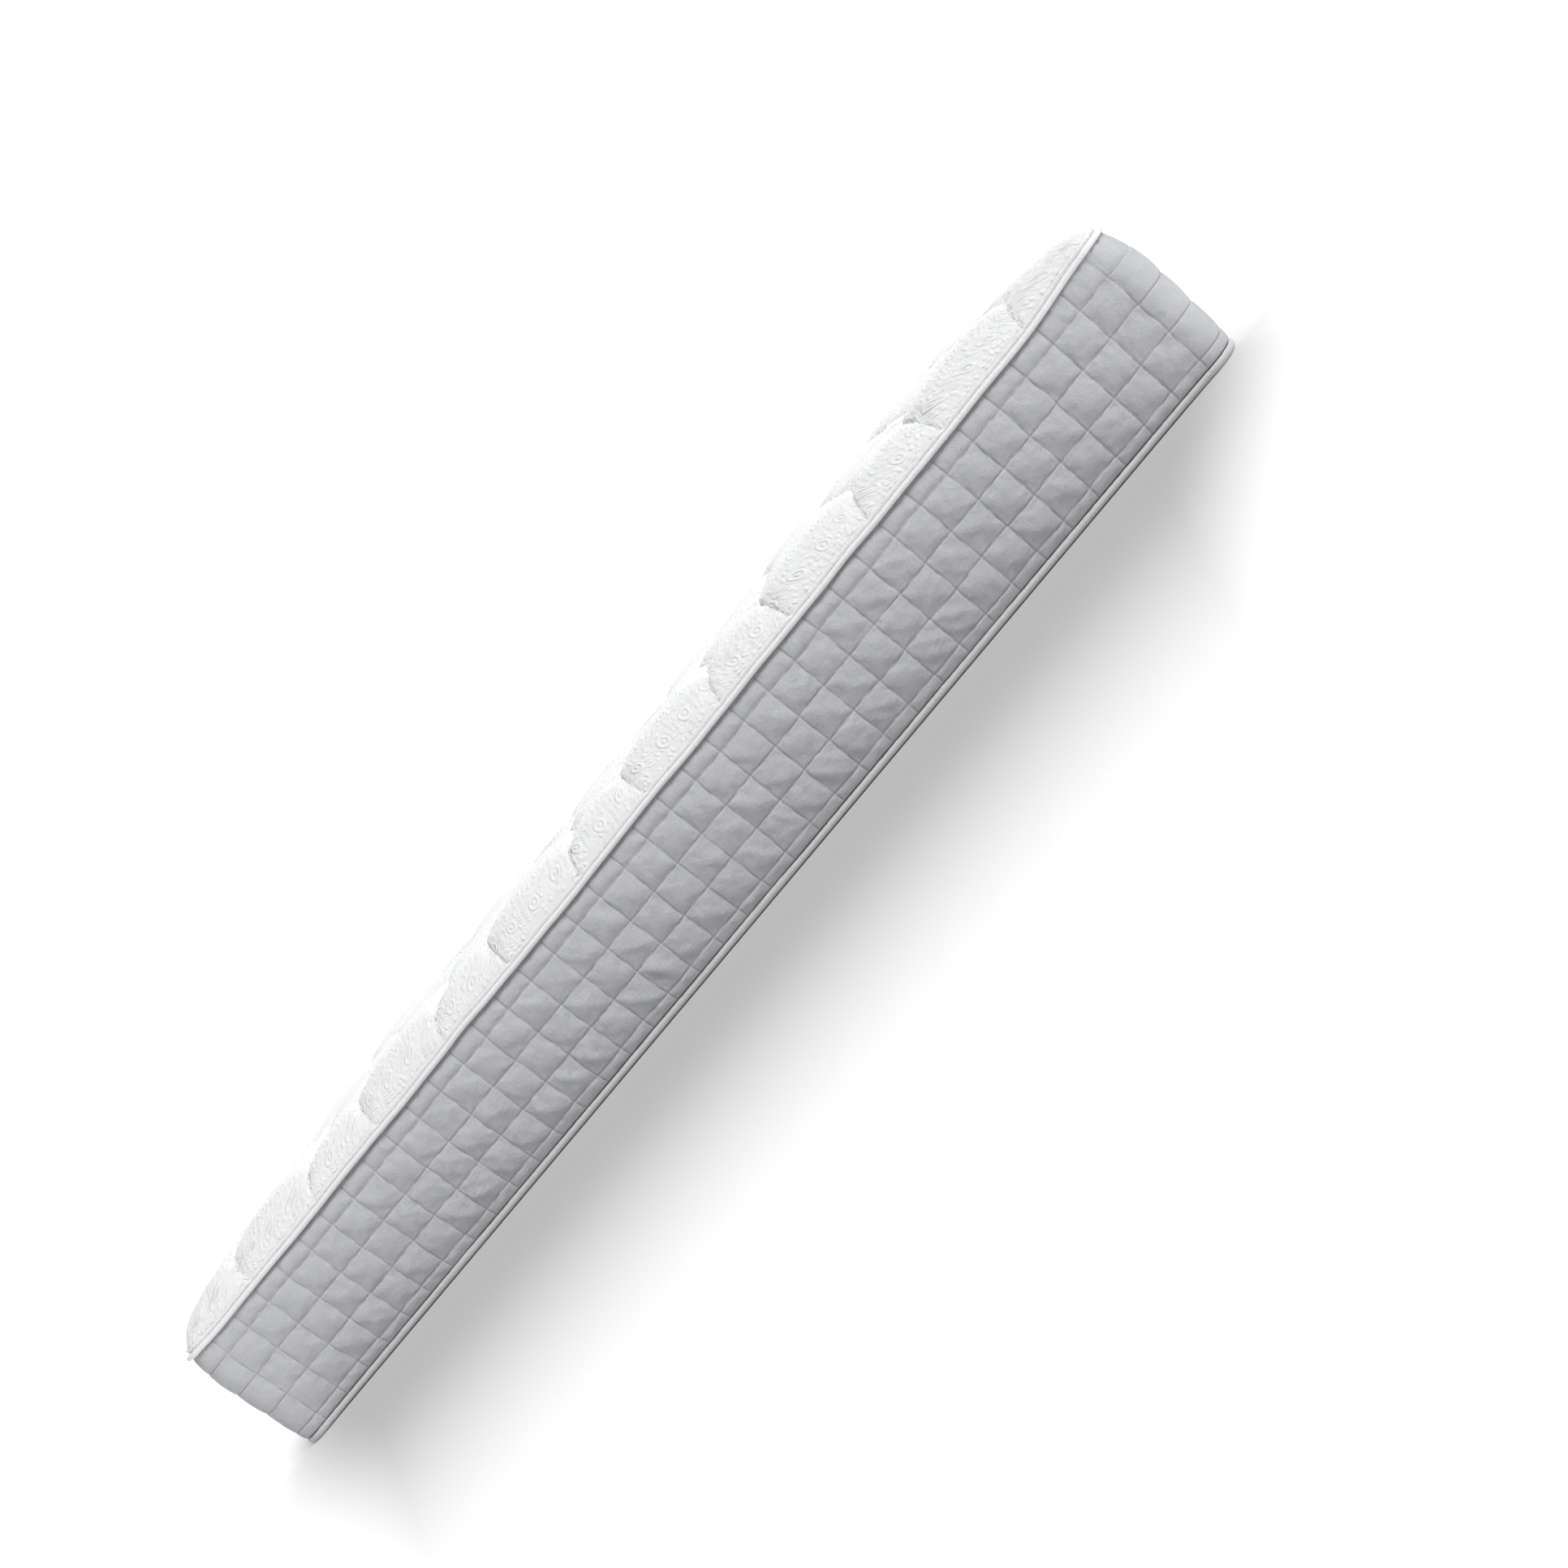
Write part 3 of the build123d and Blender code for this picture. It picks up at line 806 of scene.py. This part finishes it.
class Nodes:
    """Short ways to add nodes to one tree."""

    def __init__(self, tree):
        self.tree = tree

    def node(self, kind, inputs=(), **settings):
        made = self.tree.nodes.new(kind)
        for key, value in settings.items():
            setattr(made, key, value)
        for key, value in dict(inputs).items():
            self.feed(made.inputs[key], value)
        return made

    def feed(self, socket, value):
        """A socket takes another node's output, or a value of its own."""
        if isinstance(value, bpy.types.NodeSocket):
            self.tree.links.new(value, socket)
        else:
            socket.default_value = value

    def math(self, operation, a, b=0.0, c=0.0):
        return self.node("ShaderNodeMath", {0: a, 1: b, 2: c}, operation=operation).outputs[0]

    def times(self, a, b):
        return self.math("MULTIPLY", a, b)

    def shares(self, a, of_a, b, of_b):
        """A sum of two values, each times its share."""
        return self.math("MULTIPLY_ADD", a, of_a, self.times(b, of_b))

    def weave(self):
        """The cloth's own coordinates, in millimetres."""
        uv = self.node("ShaderNodeUVMap", uv_map="weave").outputs[0]
        return self.scaled(uv, (1000, 1000, 1000))

    def cloth(self):
        """The cloth's own coordinates, and how far along and how far up they are."""
        weave = self.weave()
        x, y, _ = self.parts(weave)
        return weave, x, y

    def place(self):
        """The object's coordinates, in millimetres."""
        return self.scaled(self.node("ShaderNodeTexCoord").outputs["Object"], (1000, 1000, 1000))

    def scaled(self, vector, scale):
        return self.node("ShaderNodeVectorMath", {0: vector, 1: scale}, operation="MULTIPLY").outputs[0]

    def shifted(self, vector, by):
        return self.node("ShaderNodeVectorMath", {0: vector, 1: by}, operation="ADD").outputs[0]

    def cells(self, vector, size, softness=None):
        """Distance from the middle of cells of that size in mm, sharp, or soft and merging."""
        inputs = {"Vector": vector, "Scale": 1 / size}
        if softness is None:
            return self.node("ShaderNodeTexVoronoi", inputs).outputs["Distance"]
        inputs["Smoothness"] = softness
        return self.node("ShaderNodeTexVoronoi", inputs, feature="SMOOTH_F1").outputs["Distance"]

    def tile(self, value, pitch):
        """The place of value in its tile, from minus half to half the pitch."""
        whole = self.times(self.math("FRACT", self.math("DIVIDE", value, pitch)), pitch)
        return self.math("SUBTRACT", whole, pitch / 2)

    def parts(self, vector):
        return self.node("ShaderNodeSeparateXYZ", {0: vector}).outputs[:]

    def noise(self, vector, size, detail=2.0, roughness=0.5):
        """Noise from 0 to 1 with features of that size in mm, one size or one for each axis."""
        return self.noise_node(vector, size, detail, roughness).outputs[0]

    def drift(self, vector, size):
        """A direction in each place that drifts smoothly, from 0 to 1 along each axis."""
        return self.noise_node(vector, size, 1.0, 0.5).outputs["Color"]

    def noise_node(self, vector, size, detail, roughness):
        size = size if isinstance(size, tuple) else (size, size, size)
        vector = self.scaled(vector, tuple(1 / s for s in size))
        inputs = {"Vector": vector, "Scale": 1.0, "Detail": detail, "Roughness": roughness}
        return self.node("ShaderNodeTexNoise", inputs)

    def wave(self, value, pitch, phase=0.0):
        """A sine of value with that pitch, from 0 to 1."""
        angle = self.math("MULTIPLY_ADD", value, 2 * math.pi / pitch, phase)
        return self.math("MULTIPLY_ADD", self.math("SINE", angle), 0.5, 0.5)

    def step(self, value, low, high):
        """A smooth change from 0 at low to 1 at high; low may be the larger."""
        inputs = {"Value": value, "From Min": low, "From Max": high}
        return self.node("ShaderNodeMapRange", inputs, interpolation_type="SMOOTHSTEP").outputs[0]

    def blend(self, factor, a, b):
        colours = {0: factor, 6: (*a, 1), 7: (*b, 1)}
        return self.node("ShaderNodeMix", colours, data_type="RGBA").outputs[2]


class Paint(Nodes):
    """One material's nodes, built round a Principled shader."""

    def __init__(self, name, **sockets):
        self.material = bpy.data.materials.new(name)
        self.material.use_nodes = True
        super().__init__(self.material.node_tree)
        self.shader = next(n for n in self.tree.nodes if n.type == "BSDF_PRINCIPLED")
        for socket, value in sockets.items():
            self.shader.inputs[socket.replace("_", " ")].default_value = value
        self.normal = None

    def colour(self, shade, dark, light):
        self.feed(self.shader.inputs["Base Color"], self.blend(shade, dark, light))

    def finish(self, shade, dark, light, grain, low, high):
        """The material: its colour goes from dark to light by shade, its roughness by grain."""
        self.colour(shade, dark, light)
        spread = self.node("ShaderNodeMapRange", {"Value": grain, "To Min": low, "To Max": high})
        self.feed(self.shader.inputs["Roughness"], spread.outputs[0])
        return self.material

    def bump(self, height, depth_mm):
        inputs = {"Height": height, "Distance": depth_mm * MM, "Strength": 1.0}
        if self.normal is not None:
            inputs["Normal"] = self.normal
        self.normal = self.node("ShaderNodeBump", inputs).outputs[0]
        self.feed(self.shader.inputs["Normal"], self.normal)


# The knit's rings stand in rows, in mm.
RING_PITCH = 48.0
RING_ROW = 40.0


def knit_material():
    """Double knit with small raised rings, short bars and leaf shapes between them."""
    p = Paint("top_knit", Sheen_Weight=0.02, Sheen_Roughness=0.5, Specular_IOR_Level=0.02)
    weave = p.weave()
    swayed = p.shifted(weave, p.scaled(p.drift(weave, 40.0), (7, 7, 0)))
    x, y, _ = p.parts(swayed)
    y = p.math("ADD", y, 15.0)
    row = p.math("FLOOR", p.math("DIVIDE", y, RING_ROW))
    u = p.tile(p.math("MULTIPLY_ADD", row, RING_PITCH / 2, x), RING_PITCH)
    v = p.tile(y, RING_ROW)
    radius = p.math("SQRT", p.math("ADD", p.times(u, u), p.times(v, v)))
    inside = p.step(radius, 13.5, 10.5)
    rings = p.times(p.wave(radius, 7.6, 1.4), inside)
    leaf = p.step(p.cells(swayed, 7.7, 0.5), 0.62, 0.1)
    bars = p.times(p.wave(y, 5.5), p.wave(x, 11.0))
    patch = p.step(p.noise(weave, 30.0, 1.0), 0.46, 0.62)
    between = p.math("MULTIPLY_ADD", patch, p.math("SUBTRACT", bars, leaf), leaf)
    outside = p.times(between, p.math("SUBTRACT", 1.0, inside))
    relief = p.math("ADD", rings, outside)
    loops = p.times(p.wave(x, 1.5), p.wave(y, 1.2))
    p.bump(relief, 1.15)
    p.bump(p.noise(weave, 6.0, 3.0), 1.0)
    p.bump(loops, 0.06)
    # Colour follows the relief and is darker in its hollows: painted shade. The slow 120 mm noise adds a
    # random tone.
    shade = p.shares(relief, 0.5, p.noise(weave, 120.0), 0.4)
    return p.finish(shade, (0.85, 0.855, 0.865), (0.95, 0.955, 0.96), loops, 0.72, 0.9)


def border_material():
    """Plain weave with uneven upright yarns."""
    p = Paint("border_weave", Sheen_Weight=0.08, Sheen_Roughness=0.45, Specular_IOR_Level=0.3)
    weave, x, y = p.cloth()
    slub = p.noise(weave, (1.3, 7.0, 1.0), 2.0, 0.55)
    fleck = p.step(p.noise(weave, (0.9, 1.8, 1.0), 2.0, 0.6), 0.38, 0.7)
    weft = p.noise(weave, (5.0, 1.2, 1.0), 2.0, 0.5)
    stripe = p.times(p.wave(x, 2.1), p.step(p.noise(weave, 16.0, 2.0), 0.4, 0.62))
    yarn = p.times(p.wave(x, 1.05), p.wave(y, 1.05))
    cloth = p.math("MULTIPLY_ADD", stripe, 0.14, p.shares(slub, 0.35, fleck, 0.3))
    p.bump(slub, 0.2)
    p.bump(fleck, 0.14)
    p.bump(stripe, 0.07)
    p.bump(weft, 0.12)
    p.bump(yarn, 0.08)
    p.bump(p.noise(weave, 13.0, 4.0, 0.6), 2.0)
    return p.finish(p.step(cloth, 0.1, 0.75), (0.505, 0.51, 0.525), (0.65, 0.655, 0.67), slub, 0.6, 0.85)


def tape_material(name, dark, light):
    """Binding tape with fine upright ribs, puckered by its seam."""
    p = Paint(name, Sheen_Weight=0.1, Sheen_Roughness=0.35, Specular_IOR_Level=0.4)
    weave, x, y = p.cloth()
    rib = p.wave(x, 1.3)
    fray = p.noise(weave, (2.6, 9.0, 1.0), 3.0)
    p.bump(rib, 0.06)
    p.bump(fray, 1.1)
    shade = p.shares(rib, 0.4, fray, 0.6)
    return p.finish(shade, dark, light, rib, 0.45, 0.62)


def thread_material(name, dark, light):
    """Polyester thread, with the faint twist of its plies."""
    p = Paint(name, Sheen_Weight=0.2, Specular_IOR_Level=0.4)
    place = p.place()
    ply = p.noise(place, 0.4, 2.0)
    p.bump(ply, 0.1)
    return p.finish(ply, dark, light, ply, 0.4, 0.6)


def base_material():
    """Thin cloth with a grid of small grip dots."""
    p = Paint("base_cloth", Specular_IOR_Level=0.3)
    weave, x, y = p.cloth()
    dots = p.step(p.times(p.wave(x, 8.0), p.wave(y, 8.0)), 0.6, 0.8)
    fibre = p.noise(weave, (1.0, 5.0, 1.0), 4.0, 0.7)
    p.bump(fibre, 0.3)
    p.bump(dots, 0.4)
    shade = p.shares(dots, 0.6, fibre, 0.4)
    return p.finish(shade, (0.60, 0.61, 0.62), (0.76, 0.77, 0.78), fibre, 0.7, 0.9)


def fluff_material():
    p = Paint("polyester_fill", Sheen_Weight=0.4, Specular_IOR_Level=0.2)
    place = p.place()
    fibre = p.noise(place, 3.0, 6.0, 0.75)
    p.bump(fibre, 1.5)
    return p.finish(fibre, (0.78, 0.78, 0.77), (0.93, 0.93, 0.92), fibre, 0.85, 1.0)


def foam_material(name, dark, light, pore):
    """Open-cell foam: fine pores and a faint mottle."""
    p = Paint(name, Specular_IOR_Level=0.2)
    place = p.place()
    cell = p.cells(place, pore)
    cloud = p.noise(place, 70.0, 3.0)
    p.bump(cell, 0.5)
    return p.finish(p.shares(cell, 0.5, cloud, 0.5), dark, light, cell, 0.8, 0.98)


def backing_material():
    """Spun-bonded backing with a pattern of small bonding points."""
    p = Paint("spunbond", Specular_IOR_Level=0.3)
    place = p.place()
    x, y, z = p.parts(place)
    bond = p.times(p.wave(p.math("ADD", x, z), 2.4), p.wave(p.math("ADD", y, z), 2.4))
    fibre = p.noise(place, (0.8, 2.5, 1.2), 4.0, 0.7)
    p.bump(fibre, 0.2)
    p.bump(bond, 0.12)
    shade = p.shares(bond, 0.5, fibre, 0.5)
    return p.finish(shade, (0.68, 0.69, 0.70), (0.86, 0.87, 0.87), fibre, 0.6, 0.8)


def sock_material():
    """Rib-knitted sock round the foams."""
    p = Paint("sock_knit", Sheen_Weight=0.3, Specular_IOR_Level=0.25)
    place = p.place()
    x, y, z = p.parts(place)
    rib = p.wave(p.math("ADD", x, y), 2.0)
    course = p.wave(p.math("ADD", z, p.times(y, 0.4)), 1.4)
    p.bump(p.times(rib, course), 0.35)
    return p.finish(rib, (0.74, 0.74, 0.73), (0.90, 0.90, 0.89), course, 0.75, 0.92)


def cord_material():
    """Twisted paper-fibre filler cord."""
    p = Paint("filler_cord", Specular_IOR_Level=0.3)
    weave, x, y = p.cloth()
    twist = p.wave(p.math("MULTIPLY_ADD", y, 0.9, x), 4.0)
    p.bump(twist, 0.7)
    return p.finish(twist, (0.62, 0.60, 0.55), (0.82, 0.80, 0.75), twist, 0.7, 0.9)


def wear(piece, material):
    """The piece, or CAD node, takes that material in every slot."""
    if piece.material_slots:
        for one in piece.material_slots:
            one.material = material
    else:
        piece.data.materials.append(material)


# ---- studio ----

PHOTO_FRAME = 1932
FOCAL_PIXELS = 1700
SENSOR = 36.0
CAMERA_SPOT = Vector((0.4585, -2.2204, 0.3538))
CAMERA_YAW = math.radians(-8.12)
CAMERA_DOWN = math.radians(8.385)
CAMERA_ROLL = math.radians(-51.50)
BACKDROP = 1.04
FRONT_SKY = 0.15
KEY_STRENGTH = 1.1
KEY_FROM = (math.radians(8), math.radians(24))
KEY_SPREAD = math.radians(32)
FILL_STRENGTH = 2.6
FILL_FROM = (math.radians(132), math.radians(50))
FILL_SPREAD = math.radians(34)
# The floor's glow is painted light; it is left out round the mattress as a painted shadow.
FLOOR_GLOW = 0.52
FLOOR_PALE = ((0.57, 0.57, 0.575), (0.59, 0.59, 0.59))


def direction(bearing, height):
    """A direction: its bearing is clockwise from straight behind, its height above level."""
    level = math.cos(height)
    return Vector((level * math.sin(bearing), level * math.cos(bearing), math.sin(height)))


def add_camera():
    """The camera looks along the length from the front, and leans right over."""
    data = bpy.data.cameras.new("camera")
    data.sensor_width = SENSOR
    data.lens = FOCAL_PIXELS / PHOTO_FRAME * SENSOR
    data.clip_end = 100
    camera = add_object("camera", data)
    ahead = direction(CAMERA_YAW, -CAMERA_DOWN)
    right = Vector((math.cos(CAMERA_YAW), -math.sin(CAMERA_YAW), 0))
    up = right.cross(ahead)
    side = right * math.cos(CAMERA_ROLL) + up * math.sin(CAMERA_ROLL)
    over = -right * math.sin(CAMERA_ROLL) + up * math.cos(CAMERA_ROLL)
    camera.matrix_world = Matrix.Translation(CAMERA_SPOT) @ Matrix((side, over, -ahead)).transposed().to_4x4()
    bpy.context.scene.camera = camera


def add_sun(name, bearing, height, strength, spread):
    """A broad, soft, far light that shines from there."""
    towards = direction(bearing, height)
    data = bpy.data.lights.new(name, "SUN")
    data.energy = strength
    data.angle = spread
    sun = add_object(name, data)
    sun.location = towards * 5
    sun.rotation_euler = towards.to_track_quat("Z", "Y").to_euler()


def add_backdrop():
    """A white room that shines from behind, and looks as white from every side."""
    world = bpy.data.worlds.new("studio")
    world.use_nodes = True
    bpy.context.scene.world = world
    p = Nodes(world.node_tree)
    background = next(n for n in p.tree.nodes if n.type == "BACKGROUND")
    background.inputs["Color"].default_value = (1, 1, 1, 1)
    _, y, _ = p.parts(p.node("ShaderNodeTexCoord").outputs["Generated"])
    glow = p.math("MULTIPLY_ADD", p.step(y, 0.3, 0.66), BACKDROP - FRONT_SKY, FRONT_SKY)
    seen = p.times(p.node("ShaderNodeLightPath").outputs["Is Camera Ray"], BACKDROP)
    p.feed(background.inputs["Strength"], p.math("MAXIMUM", glow, seen))


def add_floor():
    """A pale floor that glows white away from the mattress: the glow is painted light, and the patch it
    leaves dark round and in front of the mattress, narrowing away from it, is a painted shadow.
    """
    reach = 60.0
    corners = [(-reach, -reach, 0), (reach, -reach, 0), (reach, reach, 0), (-reach, reach, 0)]
    mesh = bpy.data.meshes.new("floor")
    mesh.from_pydata(corners, [], [(0, 1, 2, 3)])
    floor = add_object("floor", mesh)
    p = Paint("floor", Specular_IOR_Level=0.0, Roughness=1.0)
    p.colour(p.noise(p.place(), 900.0), *FLOOR_PALE)
    x, y, _ = p.parts(p.node("ShaderNodeTexCoord").outputs["Object"])
    ahead = p.math("MAXIMUM", p.math("SUBTRACT", -HALF_WIDTH, y), 0.0)
    right = p.step(p.math("MULTIPLY_ADD", ahead, 0.6, x), HALF_LENGTH - 0.12, HALF_LENGTH + 0.16)
    left = p.step(p.math("MULTIPLY_ADD", ahead, -0.85, x), -HALF_LENGTH + 0.10, -HALF_LENGTH - 0.12)
    front = p.step(ahead, 0.18, 1.02)
    behind = p.step(y, HALF_WIDTH - 0.1, HALF_WIDTH + 0.1)
    # The floor glows only outside a patch round and in front of the mattress that narrows away from it: a
    # painted shadow, laid over the rendered one.
    glow_outside_painted_shadow = p.math("MAXIMUM", p.math("MAXIMUM", right, left), p.math("MAXIMUM", front, behind))
    p.feed(p.shader.inputs["Emission Strength"], p.times(glow_outside_painted_shadow, FLOOR_GLOW))
    p.shader.inputs["Emission Color"].default_value = (1, 1, 1, 1)
    wear(floor, p.material)


def add_studio():
    add_backdrop()
    add_floor()
    add_sun("key", *KEY_FROM, KEY_STRENGTH, KEY_SPREAD)
    add_sun("fill", *FILL_FROM, FILL_STRENGTH, FILL_SPREAD)
    bpy.context.scene.view_settings.view_transform = "Standard"


# ---- the mattress ----

add_camera()
add_studio()

cover, face = build_border()
border_fill = build_border_fill(face)
top_cover, top_upper, top_fill_face = build_top_panel()
top_fill = build_top_fill(top_fill_face)
base_cover, base_fill = build_base()
top_tape, top_line = build_top_tape()
bottom_tape, bottom_line = build_bottom_tape()
top_cord = build_cord("top_cord", TOP_ROLL_HEIGHT, 0.0, TOP_CORD_RADIUS, True)
bottom_cord = build_cord("bottom_cord", BOTTOM_ROLL_HEIGHT, BOTTOM_ROLL_OUT, BOTTOM_CORD_RADIUS, False)

knit = knit_material()
border_weave = border_material()
tape = tape_material("edge_tape", (0.86, 0.865, 0.87), (0.95, 0.95, 0.955))
# The bottom tape is the same white tape in a darker colour: painted shade, standing in for the shadow under
# the border's bulge.
painted_shade_tape = tape_material("painted_shade_tape", (0.57, 0.575, 0.58), (0.68, 0.68, 0.685))
thread = thread_material("white_thread", (0.70, 0.71, 0.73), (0.86, 0.87, 0.88))
grey_thread = thread_material("grey_thread", (0.56, 0.57, 0.58), (0.72, 0.73, 0.74))
fluff = fluff_material()
cord = cord_material()
base_cloth = base_material()

PIECES = [
    (cover, "border_ticking", "border_ticking", border_weave),
    (border_fill, "border_wadding", "wadding", fluff),
    (top_cover, "top_panel_ticking", "top_ticking", knit),
    (top_fill, "top_panel_wadding", "wadding", fluff),
    (base_cover, "bottom_panel_ticking", "bottom_ticking", base_cloth),
    (base_fill, "bottom_panel_wadding", "wadding", fluff),
    (top_tape, "top_binding_tape", "binding_tape", tape),
    (bottom_tape, "bottom_binding_tape", "binding_tape", painted_shade_tape),
    (top_cord, "top_filler_cord", "filler_cord", cord),
    (bottom_cord, "bottom_filler_cord", "filler_cord", cord),
]
THREADS = [
    ("border_stitches", border_stitches(face), "border_quilt_thread", grey_thread),
    ("top_seam_stitches", seam_stitches(top_upper), "top_quilt_thread", thread),
    ("top_tape_stitches", top_line, "top_tape_thread", thread),
    ("bottom_tape_stitches", bottom_line, "bottom_tape_thread", thread),
]
for name, lines, node, material in THREADS:
    PIECES.append((add_stitches(name, lines), node, "thread", material))
for piece, node, slot, material in PIECES:
    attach(piece, "root")
    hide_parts(node)
    wear(piece, material)

backing = backing_material()
for name in ("top_panel_backing", "border_backing", "bottom_panel_backing"):
    wear(nodes[name], backing)
wear(nodes["inner_sock"], sock_material())
FOAMS = [
    ("memory_foam_layer", (0.80, 0.77, 0.66), (0.92, 0.90, 0.82), 1.2),
    ("transition_foam_layer", (0.60, 0.70, 0.76), (0.74, 0.82, 0.87), 1.6),
    ("support_foam_core", (0.74, 0.74, 0.72), (0.88, 0.88, 0.86), 2.0),
]
for name, dark, light, pore in FOAMS:
    wear(nodes[name], foam_material(f"{name}_cells", dark, light, pore))
